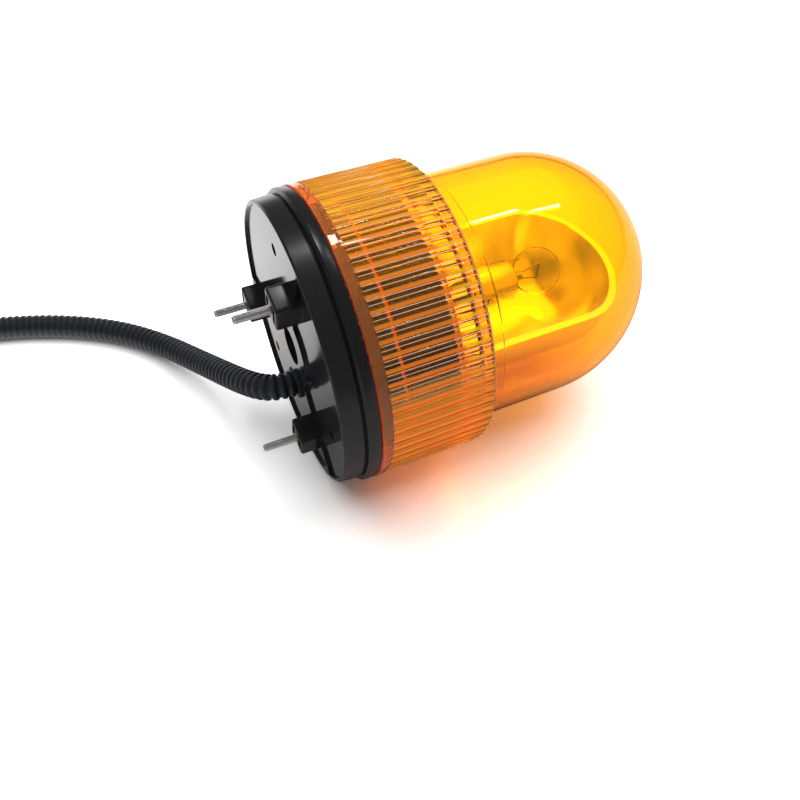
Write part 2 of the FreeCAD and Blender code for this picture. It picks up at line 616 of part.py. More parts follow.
reach = REFLECTOR_R + 4 * REFLECTOR_RIM
far = REFLECTOR_ARC_X + reach
back_top = REFLECTOR_LOW + REFLECTOR_WALL
keep = box(REFLECTOR_LOW - BEYOND, far, -reach, reach, -reach, REFLECTOR_CUT)
keep_rim = box(REFLECTOR_LOW - BEYOND, far, -reach, reach, REFLECTOR_CUT - REFLECTOR_RIM_T, REFLECTOR_CUT)
shell = bowl(REFLECTOR_WALL, REFLECTOR_LOW).common(keep)
rim = bowl(REFLECTOR_WALL + REFLECTOR_RIM, REFLECTOR_LOW).common(keep_rim)
reflector = fuse([shell, rim]).cut(bowl(0.0, back_top))
collar = rod(CARRIER_FLANGE_R, REFLECTOR_LOW, back_top)
collar = collar.common(box(REFLECTOR_LOW - BEYOND, back_top + BEYOND, -reach, reach, REFLECTOR_CUT, reach))
reflector = reflector.fuse(collar).removeSplitter()
cuts = [rod(CLIP_R + REFLECTOR_BORE_ROOM, REFLECTOR_LOW - BEYOND, back_top + BEYOND)]
cuts += [rod(SPOT_SCREW_R + SPOT_FIT, REFLECTOR_LOW - BEYOND, back_top + BEYOND, *polar(SPOT_R, a))
         for a in SPOT_ANGLES]
reflector = reflector.cut(fuse(cuts))
export("reflector", turn(reflector, REFLECTOR_TURN))
heads = []
for y, z in turned_spots:
    heads.append(fuse([rod(SPOT_SCREW_R, CARRIER_TOP - SPOT_DEPTH, back_top, y, z),
                       rod(SPOT_HEAD_R, back_top, back_top + SPOT_HEAD_H, y, z)]))
export("reflector_screws", Part.makeCompound(heads))

# ---- bulb and socket ----
pin_x = SOCKET_TOP - SOCKET_PIN_DEPTH
slot_half = SOCKET_SLOT_W / 2
socket = tube(SOCKET_IN_R, TOWER_BORE_R, SOCKET_LOW, SOCKET_TOP)
socket = socket.cut(box(pin_x - slot_half, SOCKET_TOP + BEYOND, -TOWER_R, TOWER_R, -slot_half, slot_half))
export("bulb_socket", socket)
insulator_low = SOCKET_LOW + INSULATOR_LIFT
insulator = tube(CONTACT_R, SOCKET_IN_R, insulator_low, insulator_low + INSULATOR_T)
export("socket_insulator", insulator)
contact = fuse([rod(CONTACT_R, insulator_low - 2, CAP_LOW - CONTACT_TIP_H),
                rod(CONTACT_FOOT_R, insulator_low - 3, insulator_low - 2)])
export("socket_contact", contact)
cap = turned([(CAP_LOW, 0), (CAP_LOW, BULB_CAP_R - CAP_EDGE), (CAP_LOW + CAP_EDGE, BULB_CAP_R),
              (CAP_TOP - 0.8, BULB_CAP_R), (CAP_TOP, BULB_CAP_R - 0.4), (CAP_TOP, 0)])
pin_reach = BULB_CAP_R + CAP_PIN_OUT
cap = cap.fuse(Part.makeCylinder(CAP_PIN_R, 2 * pin_reach, V(pin_x, -pin_reach, 0), V(0, 1, 0)))
export("bulb_cap", cap)
export("bulb_contact", rod(CONTACT_TIP_R, CAP_LOW - CONTACT_TIP_H, CAP_LOW))
ball = CAP_TOP + GLASS_RISE
glass_in_r, neck_in_r = GLASS_R - GLASS_WALL, GLASS_NECK_R - GLASS_WALL
neck_x = ball - math.sqrt(GLASS_R ** 2 - GLASS_NECK_R ** 2)
neck_in_x = ball - math.sqrt(glass_in_r ** 2 - neck_in_r ** 2)
glass = turned([
    (CAP_TOP, GLASS_NECK_R), (neck_x, GLASS_NECK_R, arc_middle(ball, GLASS_R, 140)),
    (ball + GLASS_R, 0), (ball + glass_in_r, 0, arc_middle(ball, glass_in_r, 140)),
    (neck_in_x, neck_in_r), (CAP_TOP, neck_in_r)])
export("bulb_glass", glass)
mount = [rod(STEM_R, CAP_TOP, CAP_TOP + STEM_H)]
for side in (-1, 1):
    lean = V(SUPPORT_LIFT, 0, side * SUPPORT_LEAN)
    mount.append(Part.makeCylinder(SUPPORT_R, lean.Length,
                                   V(CAP_TOP + STEM_H - 1, 0, side * SUPPORT_Z), lean))
filament_x = CAP_TOP + STEM_H - 1 + SUPPORT_LIFT - 0.4
mount.append(Part.makeCylinder(FILAMENT_R, FILAMENT_LENGTH,
                               V(filament_x, 0, -FILAMENT_LENGTH / 2), V(0, 0, 1)))
export("bulb_filament", fuse(mount))

# ---- seal and lens ----
export("lens_seal", tube(SEAL_IN_R, SEAL_OUT_R, SEAL_LOW, SEAL_TOP))
dome_in = DOME_R - LENS_WALL
round_in = SHOULDER_ROUND * (1 - math.sqrt(0.5))
lens = turned([
    (LENS_LOW, SKIRT_IN_R), (LENS_LOW, LENS_FLANGE_R - 0.3), (LENS_LOW + 0.3, LENS_FLANGE_R),
    (LENS_FLANGE_TOP, LENS_FLANGE_R), (LENS_FLANGE_TOP, SKIRT_R),
    (SHOULDER - SHOULDER_ROUND, SKIRT_R, (SHOULDER - round_in, SKIRT_R - round_in)),
    (SHOULDER, SKIRT_R - SHOULDER_ROUND), (SHOULDER, FOOT_R), (FOOT_TOP, FOOT_R),
    (FOOT_TOP + FOOT_PROUD, DOME_R), (DOME_ARC_X, DOME_R, arc_middle(DOME_ARC_X, DOME_R, 90)),
    (DOME_END, 0), (DOME_END - LENS_WALL, 0, arc_middle(DOME_ARC_X, dome_in, 90)),
    (DOME_ARC_X, dome_in), (SHOULDER - LENS_WALL, dome_in), (SHOULDER - LENS_WALL, SKIRT_BORE_R),
    (BORE_STEP, SKIRT_BORE_R), (BORE_STEP, SKIRT_IN_R)])
ridge = box(LENS_FLANGE_TOP - 0.5, SHOULDER - SHOULDER_ROUND, SKIRT_R - RIB_H, SKIRT_R + RIB_H,
            -LENS_RIB_W / 2, LENS_RIB_W / 2)
ridges = [turn(ridge, k * 360.0 / RIBS) for k in range(RIBS)]
lugs = [sector(LUG_IN_R, SKIRT_IN_R + 0.4, LUG_LOW, LUG_TOP, angle, LUG_SPAN) for angle in LUG_ANGLES]
lens = lens.multiFuse(ridges + lugs)
export("lens", lens)

# ---- wiring board, hung from the deck ----
board_top = DECK_LOW - BOARD_DROP
board_low = board_top - BOARD_T
export("circuit_board", box(board_low, board_top, BOARD_Y, BOARD_Y + BOARD_W, BOARD_Z, BOARD_Z + BOARD_L))
capacitor_y, capacitor_z = BOARD_Y + CAPACITOR_IN[0], BOARD_Z + CAPACITOR_IN[1]
cans = [rod(CAPACITOR_R, board_top, board_top + CAPACITOR_H,
            capacitor_y + k * CAPACITOR_PITCH, capacitor_z) for k in range(2)]
export("capacitors", Part.makeCompound(cans))
terminal_y, terminal_z = BOARD_Y + TERMINAL_IN[0], BOARD_Z + TERMINAL_IN[1]
export("terminal_block", box(board_top, board_top + TERMINAL_H, terminal_y, terminal_y + TERMINAL_W,
                             terminal_z, terminal_z + TERMINAL_L))
spacer_y, spacer_z = BOARD_Y + SPACER_IN, BOARD_Z + SPACER_IN + 0.2
spacers = [rod(SPACER_R, board_top, DECK_LOW, spacer_y, spacer_z + k * SPACER_PITCH) for k in range(2)]
export("board_spacers", Part.makeCompound(spacers))

# ---- cord: conduit, end boot, two leads ----
# Route points in lamp coordinates, from the gland down to the surface and away.
FLOOR_Z = CORD_R - AXIS_HEIGHT
ROUTE = [(-GLAND_OUT, GLAND_Y, GLAND_Z), (-5.4, 2.2, -20.9), (-11.0, 5.0, -21.7),
         (-16.4, 13.6, -24.8), (-21.8, 28.0, -31.0), (-28.8, 47.0, -39.0), (-39.0, 69.0, -45.6),
         (-54.0, 86.8, FLOOR_Z), (-75.0, 100.8, FLOOR_Z), (-100.0, 111.2, FLOOR_Z),
         (-128.0, 118.0, FLOOR_Z), (-156.0, 112.0, FLOOR_Z), (-176.0, 92.0, FLOOR_Z),
         (-183.0, 65.0, FLOOR_Z), (-178.0, 40.0, FLOOR_Z)]


def route_wire(points):
    """Straight runs joined by tangent arcs, each as large as its two runs allow."""
    points = [V(*p) for p in points]
    parts, radii, last = [], [], points[0]
    for before, here, after in zip(points[:-2], points[1:-1], points[2:]):
        back, ahead = before - here, after - here
        shorter = min(back.Length, ahead.Length)
        back.normalize()
        ahead.normalize()
        half = (math.pi - back.getAngle(ahead)) / 2
        reach = 0.45 * shorter
        radius = reach / math.tan(half)
        middle_way = back + ahead
        middle_way.normalize()
        centre = here + middle_way * (radius / math.cos(half))
        start, end = here + back * reach, here + ahead * reach
        parts.append(Part.LineSegment(last, start).toShape())
        parts.append(Part.Arc(start, centre - middle_way * radius, end).toShape())
        radii.append(round(radius, 1))
        last = end
    parts.append(Part.LineSegment(last, points[-1]).toShape())
    return Part.Wire(parts), radii


path, radii = route_wire(ROUTE)
ring_wire = Part.Wire(Part.Circle(V(*ROUTE[0]), X, CORD_R).toShape())
cord = path.makePipeShell([ring_wire], True, False)
print("cord length %.1f radii %s volume ratio %.4f" % (
    path.Length, radii, cord.Volume / (path.Length * math.pi * CORD_R ** 2)))
export("cord_tube", cord)
end = V(*ROUTE[-1])
way = end - V(*ROUTE[-2])
way.normalize()
boot = Part.makeCylinder(CORD_R, 14, end, way)
boot = boot.fuse(Part.makeCone(CORD_R, 3.4, 6, end + way * 14, way))
export("cord_boot", boot)
across = way.cross(V(0, 0, 1))
leads, tips = [], []
for side in (-1, 1):
    start = end + way * 20 + across * (side * 1.5)
    bend = start + way * 22 + across * (side * 2.5)
    bend.z = WIRE_R - AXIS_HEIGHT
    stop = bend + way * 24 + across * (side * 3.0)
    leads.append(Part.makeCylinder(WIRE_R, (bend - start).Length, start, bend - start).multiFuse([
        Part.makeSphere(WIRE_R, bend),
        Part.makeCylinder(WIRE_R, (stop - bend).Length, bend, stop - bend)]))
    tips.append(Part.makeCylinder(WIRE_R - 0.1, 7.0, stop, stop - bend))
export("lead_wires", Part.makeCompound(leads))
export("lead_ferrules", Part.makeCompound(tips))
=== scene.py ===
import json
import math

import bmesh
import bpy
from mathutils import Matrix, Vector


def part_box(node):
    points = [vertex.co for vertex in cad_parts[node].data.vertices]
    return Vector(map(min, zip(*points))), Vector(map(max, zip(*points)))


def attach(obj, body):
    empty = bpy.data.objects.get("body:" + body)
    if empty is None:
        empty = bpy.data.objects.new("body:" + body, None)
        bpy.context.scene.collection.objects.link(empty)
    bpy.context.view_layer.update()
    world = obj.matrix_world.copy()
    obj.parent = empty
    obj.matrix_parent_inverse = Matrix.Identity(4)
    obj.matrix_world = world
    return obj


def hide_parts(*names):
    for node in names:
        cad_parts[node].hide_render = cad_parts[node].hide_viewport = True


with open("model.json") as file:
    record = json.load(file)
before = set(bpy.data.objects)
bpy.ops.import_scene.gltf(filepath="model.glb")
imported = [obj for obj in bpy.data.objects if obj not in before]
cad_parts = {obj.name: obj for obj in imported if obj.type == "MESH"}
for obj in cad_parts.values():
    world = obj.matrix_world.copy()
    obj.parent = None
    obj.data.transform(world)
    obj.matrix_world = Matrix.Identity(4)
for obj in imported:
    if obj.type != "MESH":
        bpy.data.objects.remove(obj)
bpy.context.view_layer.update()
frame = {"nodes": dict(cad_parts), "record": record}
RECORD = frame["record"]
SLOT = {part["node"]: part["material_slot"] for part in RECORD["subparts"]}
BODY = {node: body for body, nodes in RECORD["behaviour"]["bodies"].items() for node in nodes}

# The lamp's own axis: x runs from the rim of the base to the dome, in millimetres.
MM = 0.001
GLAND_PAST_RIM = 0.3
lens_low, lens_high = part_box("lens")
RIM_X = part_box("cord_gland")[0].x + GLAND_PAST_RIM * MM
AXIS_Z = (lens_low.z + lens_high.z) / 2
TO_ROW = Matrix.Translation((RIM_X, 0, AXIS_Z)) @ Matrix.Scale(MM, 4)


def at(x, y, z):
    """A point given in the lamp's millimetres, in the row frame."""
    return TO_ROW @ Vector((x, y, z))


# ---- shapes ----
def piece(name, bm, body, slot, finish, *stands_for, smooth=30.0):
    """A new piece from a bmesh in the lamp's millimetres."""
    bmesh.ops.recalc_face_normals(bm, faces=bm.faces)
    bmesh.ops.transform(bm, matrix=TO_ROW, verts=bm.verts)
    mesh = bpy.data.meshes.new(name)
    bm.to_mesh(mesh)
    bm.free()
    return placed(name, mesh, body, slot, finish, *stands_for, smooth=smooth)


def placed(name, mesh, body, slot, finish, *stands_for, smooth=30.0):
    """A piece from a mesh in the row frame, riding on a body in place of the solids it stands for."""
    mesh.shade_smooth()
    mesh.set_sharp_from_angle(angle=math.radians(smooth))
    obj = bpy.data.objects.new(name, mesh)
    bpy.context.scene.collection.objects.link(obj)
    mesh.materials.clear()
    mesh.materials.append(finish)
    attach(obj, body)
    if stands_for:
        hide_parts(*stands_for)
    return obj


HOLD = 0.3                           # share of a fillet between its round and the point that holds it


def rounded(points, steps=5):
    """An outline of (x, r) or (x, r, fillet) points with its corners rounded.

    A long side keeps a point close to each round, so that its shading stays flat."""
    out = []
    for i, point in enumerate(points):
        x, r = point[:2]
        fillet = point[2] if len(point) > 2 else 0
        if not fillet:
            out.append((x, r))
            continue
        here = Vector((x, r))
        back = (Vector(points[i - 1][:2]) - here).normalized()
        ahead = (Vector(points[(i + 1) % len(points)][:2]) - here).normalized()
        half = back.angle(ahead) / 2
        reach = fillet / math.tan(half)
        centre = here + (back + ahead).normalized() * (fillet / math.sin(half))
        first, last = here + back * reach - centre, here + ahead * reach - centre
        turn = first.angle_signed(last)
        hold = reach + fillet * HOLD
        if (Vector(points[i - 1][:2]) - here).length > 2 * hold:
            out.append(tuple(here + back * hold))
        for k in range(steps + 1):
            spoke = Matrix.Rotation(-turn * k / steps, 2) @ first
            out.append(tuple(centre + spoke))
        if (Vector(points[(i + 1) % len(points)][:2]) - here).length > 2 * hold:
            out.append(tuple(here + ahead * hold))
    return out


def arc(cx, cr, radius, start, end, steps):
    """Points of an arc in the outline's plane; 0 degrees points along the axis."""
    return [(cx + radius * math.cos(math.radians(start + (end - start) * k / steps)),
             cr + radius * math.sin(math.radians(start + (end - start) * k / steps)))
            for k in range(steps + 1)]


def spun(outline, steps=96, closed=True, centre=(0, 0)):
    """A bmesh turned from an outline about the lamp's axis, or about one parallel to it."""
    merge = 1e-4
    bm = bmesh.new()
    y, z = centre
    verts = [bm.verts.new((x, y, z + r)) for x, r in outline]
    pairs = list(zip(verts, verts[1:] + verts[:1] if closed else verts[1:]))
    edges = [bm.edges.new(pair) for pair in pairs]
    bmesh.ops.spin(bm, geom=verts + edges, cent=(0, y, z), axis=(1, 0, 0),
                   angle=2 * math.pi, steps=steps, use_merge=True)
    bmesh.ops.remove_doubles(bm, verts=bm.verts, dist=merge)
    return bm


# ---- finishes ----
BUMP_HEIGHT = 0.0002


def finish(name, color, roughness=0.4, metallic=0.0, ior=1.5, spread=0.08, grain=900.0,
           bump=0.0, bump_grain=2500.0, stretch=(1, 1, 1), rougher=0.0, **sockets):
    """A Principled finish whose roughness wanders with a noise, and whose surface may be grained.

    rougher is what the mesh's satin attribute adds to the roughness."""
    made = bpy.data.materials.new(name)
    made.use_nodes = True
    nodes, links = made.node_tree.nodes, made.node_tree.links
    shader = nodes["Principled BSDF"]
    shader.inputs["Base Color"].default_value = (*color, 1)
    shader.inputs["Metallic"].default_value = metallic
    shader.inputs["IOR"].default_value = ior
    for socket, value in sockets.items():
        shader.inputs[socket.replace("_", " ")].default_value = value
    place = nodes.new("ShaderNodeTexCoord")
    scale = nodes.new("ShaderNodeMapping")
    scale.inputs["Scale"].default_value = stretch
    links.new(place.outputs["Object"], scale.inputs["Vector"])
    noise = nodes.new("ShaderNodeTexNoise")
    noise.inputs["Scale"].default_value = grain
    noise.inputs["Detail"].default_value = 4
    links.new(scale.outputs["Vector"], noise.inputs["Vector"])
    spreads = nodes.new("ShaderNodeMapRange")
    spreads.inputs["To Min"].default_value = max(0.0, roughness - spread)
    spreads.inputs["To Max"].default_value = roughness + spread
    links.new(noise.outputs["Fac"], spreads.inputs["Value"])
    rough = spreads.outputs["Result"]
    if rougher:
        satin = nodes.new("ShaderNodeAttribute")
        satin.attribute_name = "satin"
        added = nodes.new("ShaderNodeMath")
        added.operation = "MULTIPLY_ADD"
        added.inputs[1].default_value = rougher
        links.new(satin.outputs["Fac"], added.inputs[0])
        links.new(rough, added.inputs[2])
        rough = added.outputs["Value"]
    links.new(rough, shader.inputs["Roughness"])
    if bump:
        relief = nodes.new("ShaderNodeTexNoise")
        relief.inputs["Scale"].default_value = bump_grain
        relief.inputs["Detail"].default_value = 3
        links.new(scale.outputs["Vector"], relief.inputs["Vector"])
        raised = nodes.new("ShaderNodeBump")
        raised.inputs["Strength"].default_value = bump
        raised.inputs["Distance"].default_value = BUMP_HEIGHT
        links.new(relief.outputs["Fac"], raised.inputs["Height"])
        links.new(raised.outputs["Normal"], shader.inputs["Normal"])
    return made


def clear(name, color, shade, roughness=0.02, ior=1.5, spread=0.01, takes=None, depth=0.0):
    """A clear finish whose shadow is the colour shade.

    takes is the colour that its body lets pass, and depth how strongly, per metre."""
    made = finish(name, color, roughness, ior=ior, spread=spread, grain=60.0,
                  Transmission_Weight=1.0)
    nodes, links = made.node_tree.nodes, made.node_tree.links
    path = nodes.new("ShaderNodeLightPath")
    through = nodes.new("ShaderNodeBsdfTransparent")
    through.inputs["Color"].default_value = (*shade, 1)
    either = nodes.new("ShaderNodeMixShader")
    links.new(path.outputs["Is Shadow Ray"], either.inputs["Fac"])
    links.new(nodes["Principled BSDF"].outputs["BSDF"], either.inputs[1])
    links.new(through.outputs["BSDF"], either.inputs[2])
    links.new(either.outputs["Shader"], nodes["Material Output"].inputs["Surface"])
    if takes:
        body = nodes.new("ShaderNodeVolumeAbsorption")
        body.inputs["Color"].default_value = (*takes, 1)
        body.inputs["Density"].default_value = depth
        links.new(body.outputs["Volume"], nodes["Material Output"].inputs["Volume"])
    return made


def with_haze_and_painted_light(made):
    """Lets a clear finish turn milky: the mesh's tint attribute, which holds real milkiness and
    painted light and shade alike, gives its tint, and its alpha how milky.
    """
    nodes, links = made.node_tree.nodes, made.node_tree.links
    shader = nodes["Principled BSDF"]
    haze_and_painted_light = nodes.new("ShaderNodeAttribute")
    haze_and_painted_light.attribute_name = "haze_and_painted_light"
    clearness = nodes.new("ShaderNodeMath")
    clearness.operation = "SUBTRACT"
    clearness.inputs[0].default_value = 1.0
    links.new(haze_and_painted_light.outputs["Alpha"], clearness.inputs[1])
    links.new(clearness.outputs["Value"], shader.inputs["Transmission Weight"])
    links.new(haze_and_painted_light.outputs["Color"], shader.inputs["Base Color"])
    return made


FINISH = {
    "black_plastic": finish("black_abs", (0.010, 0.010, 0.011), 0.09, ior=1.5, spread=0.03,
                            grain=200.0),
    "satin_plastic": finish("satin_abs", (0.008, 0.008, 0.0085), 0.25, ior=1.5, spread=0.05,
                            bump=0.03),
    "cover_plastic": finish("cover_abs", (0.010, 0.010, 0.011), 0.09, ior=1.5, spread=0.03,
                            grain=200.0, rougher=0.17),
    "zinc_steel": finish("bright_zinc", (0.88, 0.87, 0.84), 0.15, metallic=0.9, spread=0.03),
    "black_screw": finish("blackened_screw", (0.03, 0.03, 0.03), 0.35, metallic=0.6),
    "black_rubber": finish("black_rubber", (0.02, 0.02, 0.021), 0.6, bump=0.15),
    "black_conduit": finish("black_conduit", (0.014, 0.017, 0.022), 0.38, spread=0.1, bump=0.06),
    "lead_insulation": finish("lead_insulation", (0.4, 0.02, 0.02), 0.45),
    "tinned_metal": finish("tinned_metal", (0.75, 0.74, 0.7), 0.3, metallic=1.0),
    "motor_steel": finish("motor_steel", (0.55, 0.55, 0.56), 0.35, metallic=1.0),
    "white_plastic": finish("white_plastic", (0.75, 0.75, 0.72), 0.45),
    "magnet": finish("ferrite", (0.08, 0.08, 0.085), 0.7, bump=0.2),
    "white_gear": finish("acetal", (0.82, 0.81, 0.76), 0.4, Subsurface_Weight=0.1),
    "brass": finish("turned_brass", (0.78, 0.55, 0.24), 0.3, metallic=1.0),
    "mirror_plating": finish("mirror_plating", (0.95, 0.94, 0.91), 0.22, metallic=0.75, spread=0.05,
                             grain=300.0),
    "nickel_brass": finish("nickel_plate", (0.75, 0.72, 0.65), 0.25, metallic=1.0),
    "board": finish("laminate", (0.33, 0.2, 0.08), 0.6, bump=0.1),
    "bulb_glass": clear("bulb_glass", (0.98, 0.98, 0.98), (0.95, 0.95, 0.95), ior=1.12),
    "tungsten": finish("tungsten", (0.35, 0.35, 0.36), 0.4, metallic=1.0),
    "amber_lens": with_haze_and_painted_light(clear("amber_lens", (1, 1, 1), (0.96, 0.96, 0.96), roughness=0.012,
                              takes=(0.998, 0.928, 0.0), depth=1220)),
    "capacitor": finish("capacitor_sleeve", (0.03, 0.06, 0.22), 0.35),
    "green_plastic": finish("green_plastic", (0.03, 0.3, 0.1), 0.4),
}
# Nodes whose finish isn't their slot's.
LOOK = {"housing": "satin_plastic", "base_cover": "cover_plastic"}

# ---- plain pieces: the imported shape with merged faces, softened edges and its finish ----
SATIN_R = 48.9                       # the base cover outside this radius is satin
SATIN_LOW = -0.3                     # and so is what stands out below this
FLAT_ANGLE, SOFT_ANGLE = 0.4, 40     # degrees: faces that merge, and edges that are softened


def dressed(node, edge=0.15):
    """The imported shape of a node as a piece, with its edges softened by so many millimetres."""
    mesh = frame["nodes"][node].data.copy()
    mesh.name = node + "_mesh"
    bm = bmesh.new()
    bm.from_mesh(mesh)
    bmesh.ops.remove_doubles(bm, verts=bm.verts, dist=1e-6)
    bmesh.ops.dissolve_limit(bm, angle_limit=math.radians(FLAT_ANGLE), verts=bm.verts,
                             edges=bm.edges)
    if node == "base_cover":
        satin = bm.verts.layers.float.new("satin")
        for vert in bm.verts:
            rim = math.hypot(vert.co.y, vert.co.z - AXIS_Z) > SATIN_R * MM
            vert[satin] = rim or vert.co.x < RIM_X + SATIN_LOW * MM
    bm.to_mesh(mesh)
    bm.free()
    if "custom_normal" in mesh.attributes:
        mesh.attributes.remove(mesh.attributes["custom_normal"])
    look = FINISH[LOOK.get(node, SLOT[node])]
    obj = placed(node + "_made", mesh, BODY[node], SLOT[node], look, node)
    if edge:
        soften = obj.modifiers.new("soft_edges", "BEVEL")
        soften.width = edge * MM
        soften.segments = 2
        soften.limit_method = "ANGLE"
        soften.angle_limit = math.radians(SOFT_ANGLE)
        soften.use_clamp_overlap = True
    return obj


# ---- lens ----
RIBS = 72
# One rib and its ground: place as a share of the pitch, and height.
RIB = [(-0.42, 0.0), (-0.28, 0.0), (-0.225, 0.04), (-0.19, 0.42), (-0.16, 0.55), (-0.12, 0.48),
       (-0.06, 0.26), (0.06, 0.26), (0.12, 0.48), (0.16, 0.55), (0.19, 0.42), (0.225, 0.04),
       (0.28, 0.0), (0.42, 0.0)]
LIP_PLACE = 0.16                     # a rib's lips, as a share of the pitch from its middle
FLANGE_LOW, FLANGE_TOP, FLANGE_R = 12.15, 15.2, 52.25
SKIRT_R, BORE_R, MOUTH_R = 51.55, 48.7, 49.2
RIB_LOW, RIB_RISE, RIB_FALL = 15.8, 0.3, 0.5
RIB_TINT_LOW = 16.0                  # from here up the skirt has its own tints
BORE_STEP, STEP_ROUND = 22.0, 0.2
BORE_LINE, LINE_DEPTH = 42.0, 0.1    # a fine groove round the bore
BRIGHT_FROM = 42.5                   # from here up the painted glow bands are brighter, standing in for the lit inside seen through
SHOULDER, SHOULDER_ROUND = 52.05, 1.0
FOOT_TOP, FOOT_R = 58.0, 45.7        # the ring at the foot of the dome
DOME_LOW, DOME_MIDDLE, DOME_R, WALL = 60.0, 90.2, 45.0, 2.3

# Tints with, last, how milky: 0 is clear and 1 is not. Some of the milky tints are painted light and
# shade.
CLEAR = (1.0, 0.735, 0.08, 0.0)
RIBBED = (1.0, 0.62, 0.12, 0.0)      # the ribs and the ground between them
PAINTED_GLOW_BAND = (1.0, 0.21, 0.008, 0.92)      # a painted glow: milky orange on the ground above each rib, standing in for light refracted through the ribs
BRIGHTER_PAINTED_GLOW_BAND = (1.0, 0.52, 0.012, 0.85)
PAINTED_LIP_GLINT = (1.0, 0.95, 0.88, 0.95)        # a painted glint: near-white on the lips of a rib, standing in for the light that they catch
# a painted glow: milky yellow on the shoulder, standing in for light refracted at the rib ends
SHOULDER_PAINTED_GLOW = (1.0, 0.48, 0.06, 0.4)
FLANGE = (1.0, 0.42, 0.16, 0.12)
LINE = (1.0, 0.3, 0.06, 0.6)         # round the bore
# Painted light and shade: towards the top of the lamp as it lies the tints are paler, towards the
# bottom deeper, as the light falls; each holds ground, painted glow band and painted lip glint.
PAINTED_LIGHT_ABOVE = ((1.0, 0.62, 0.04, 0.35), (1.0, 0.5, 0.02, 0.8), (1.0, 0.75, 0.3, 0.5))
PAINTED_SHADE_BELOW = ((1.0, 0.38, 0.02, 0.42), (1.0, 0.22, 0.008, 0.95), (1.0, 0.5, 0.08, 0.5))
# The skirt's clearest part in degrees, and how far it takes to turn into the painted light above and
# the painted shade below.
CLEAR_FROM, CLEAR_TO = 112.0, 160.0
TURNS_ABOVE, TURNS_BELOW = 20, 12


def tint_and_painted_light_at(x, r, share, angle):
    """Tint and milkiness of the lens, painted glints, glow and shade included; share is the place
    within a rib's pitch, 0 to 1.
    """
    if r < SKIRT_R - SHOULDER_ROUND:
        return LINE if abs(x - BORE_STEP) < 0.3 or abs(x - BORE_LINE) < 0.2 else CLEAR
    if x < RIB_TINT_LOW:
        return FLANGE
    if x > SHOULDER - (1 + HOLD) * SHOULDER_ROUND:
        return SHOULDER_PAINTED_GLOW
    # how far this point lies into the painted light above and into the painted shade below
    above, below = (CLEAR_FROM - angle) / TURNS_ABOVE, (angle - CLEAR_TO) / TURNS_BELOW
    if angle < 0:
        above, below = 0.0, 1.0
    away, side = min(1.0, max(above, below, 0.0)), PAINTED_LIGHT_ABOVE if above > below else PAINTED_SHADE_BELOW
    # the lips of each rib get a painted glint
    if min(abs(share - LIP_PLACE), abs(share - (1 - LIP_PLACE))) < 0.001:
        near, far = PAINTED_LIP_GLINT, side[2]
    # the ground above each rib gets a painted glow band
    elif 0.5 < share < 0.75:
        near, far = PAINTED_GLOW_BAND if x < BRIGHT_FROM else BRIGHTER_PAINTED_GLOW_BAND, side[1]
    else:
        near, far = RIBBED, side[0]
    return [a + (b - a) * away for a, b in zip(near, far)]


def lens_outline():
    """Outside of the lens from its mouth to the top of the dome, and back down the inside."""
    outer = rounded([(FLANGE_LOW, MOUTH_R), (FLANGE_LOW, FLANGE_R, 0.3),
                     (FLANGE_TOP, FLANGE_R, 0.3), (FLANGE_TOP, SKIRT_R), (15.9, SKIRT_R)], 3)
    outer += [(x, SKIRT_R) for x in (16.2, BRIGHT_FROM - 0.5, BRIGHT_FROM + 0.5, 48.4)]
    outer += rounded([(49.0, SKIRT_R), (SHOULDER, SKIRT_R, SHOULDER_ROUND),
                      (SHOULDER, FOOT_R, 0.3), (FOOT_TOP, FOOT_R, 0.4),
                      (FOOT_TOP + FOOT_R - DOME_R, DOME_R, 0.3), (DOME_LOW, DOME_R)], 5)[1:]
    outer += arc(DOME_MIDDLE, 0, DOME_R, 90, 0, 20)
    inner = arc(DOME_MIDDLE, 0, DOME_R - WALL, 0, 90, 18)
    inner += rounded([(DOME_LOW, DOME_R - WALL), (SHOULDER - WALL, DOME_R - WALL, 1.0),
                      (SHOULDER - WALL, BORE_R, 1.2),
                      (BORE_LINE + 0.3, BORE_R), (BORE_LINE + 0.1, BORE_R + LINE_DEPTH),
                      (BORE_LINE - 0.1, BORE_R + LINE_DEPTH), (BORE_LINE - 0.3, BORE_R),
                      (BORE_STEP + 0.8, BORE_R), (BORE_STEP, BORE_R, STEP_ROUND),
                      (BORE_STEP, MOUTH_R, STEP_ROUND), (BORE_STEP - 0.8, MOUTH_R),
                      (FLANGE_LOW + 0.35, MOUTH_R)], 3)[1:]
    return outer + inner


def lens():
    """The lens: its outline turned about the axis, then ribbed and tinted point by point, painted
    light and shade included.
    """
    steps = len(RIB)
    bm = spun(lens_outline(), RIBS * steps)
    haze_and_painted_light = bm.verts.layers.float_color.new("haze_and_painted_light")
    for vert in bm.verts:
        x, y, z = vert.co
        r = math.hypot(y, z)
        if r < 1e-3:
            vert[haze_and_painted_light] = CLEAR
            continue
        rib, step = divmod(round(math.atan2(z, y) / (2 * math.pi) * RIBS * steps), steps)
        place, height = RIB[step]
        turn = (rib + place) * 2 * math.pi / RIBS
        vert[haze_and_painted_light] = tint_and_painted_light_at(x, r, place % 1, math.degrees(math.atan2(z, y)))
        if RIB_LOW < x < SHOULDER + 0.1 and r > SKIRT_R - SHOULDER_ROUND - 0.01:
            rise, fall = (x - RIB_LOW) / RIB_RISE, (SHOULDER - x) / RIB_FALL
            r += height * max(0.0, min(1.0, fall, rise))
        vert.co.y, vert.co.z = r * math.cos(turn), r * math.sin(turn)
    return piece("amber_lens_made", bm, "lens", "amber_lens", FINISH["amber_lens"], "lens",
                 smooth=80)


